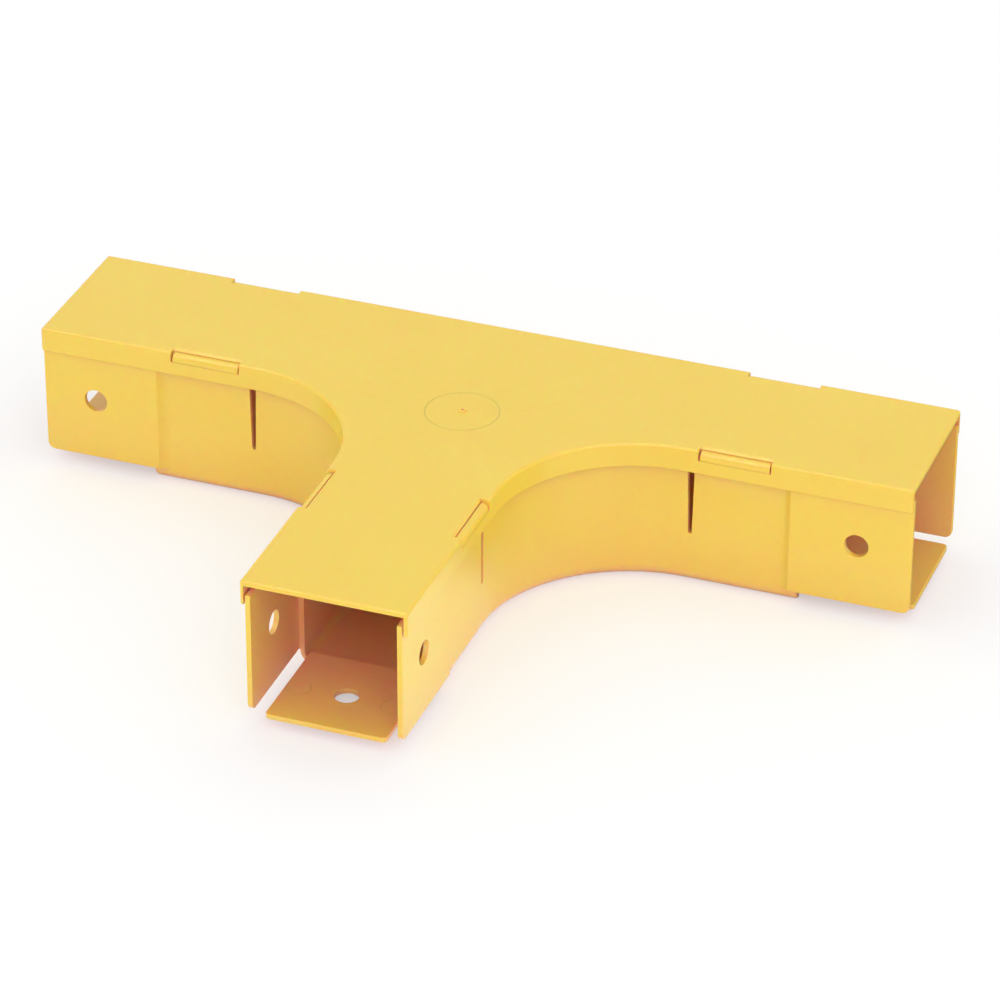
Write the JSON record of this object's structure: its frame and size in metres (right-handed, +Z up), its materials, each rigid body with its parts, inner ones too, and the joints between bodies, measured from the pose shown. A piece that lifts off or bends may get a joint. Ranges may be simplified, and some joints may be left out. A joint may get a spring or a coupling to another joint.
{
  "type": "trunking tee fitting",
  "caption": "Yellow plastic cable trunking tee: a channel base with swept inside corners and tongued open ends, closed by a cover that clips over it.",
  "frame": {"origin": "where the centre lines of the arms and the stem cross, on the base's underside", "axes": "+X along the arms, -Y along the stem toward its open end, +Z up toward the cover"},
  "size_m": [0.328, 0.194, 0.0573],
  "materials": {
    "yellow_plastic": "satin moulded yellow plastic"
  },
  "bodies": {
    "base": {"tee_base": "yellow_plastic"},
    "cover": {"tee_cover": "yellow_plastic"}
  },
  "joints": [
    {"name": "cover_lift", "type": "slide", "parent": "base", "child": "cover", "axis": [0, 0, 1], "range_m": [0, 0.06]}
  ]
}
